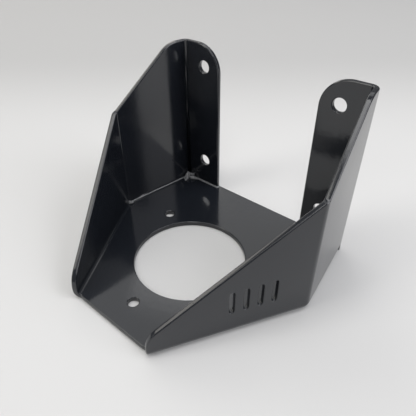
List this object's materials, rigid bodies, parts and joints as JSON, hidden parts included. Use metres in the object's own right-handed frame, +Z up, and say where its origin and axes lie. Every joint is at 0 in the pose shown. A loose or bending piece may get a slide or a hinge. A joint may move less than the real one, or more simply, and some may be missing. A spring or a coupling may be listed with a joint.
{
  "type": "fuel filler mounting bracket",
  "caption": "Folded steel bracket: a floor with a round filler opening and screw holes between two tall side wings that end in bolt-on flanges.",
  "frame": {"origin": "on the filler opening's axis, at the underside of the floor", "axes": "+Z up along the filler opening's axis, +Y towards the mounting flanges, X across the bracket"},
  "size_m": [0.1532, 0.1406, 0.1095],
  "materials": {
    "powder_coat": "semi-gloss black powder coat"
  },
  "bodies": {
    "root": {"bracket": "powder_coat"}
  },
  "joints": []
}
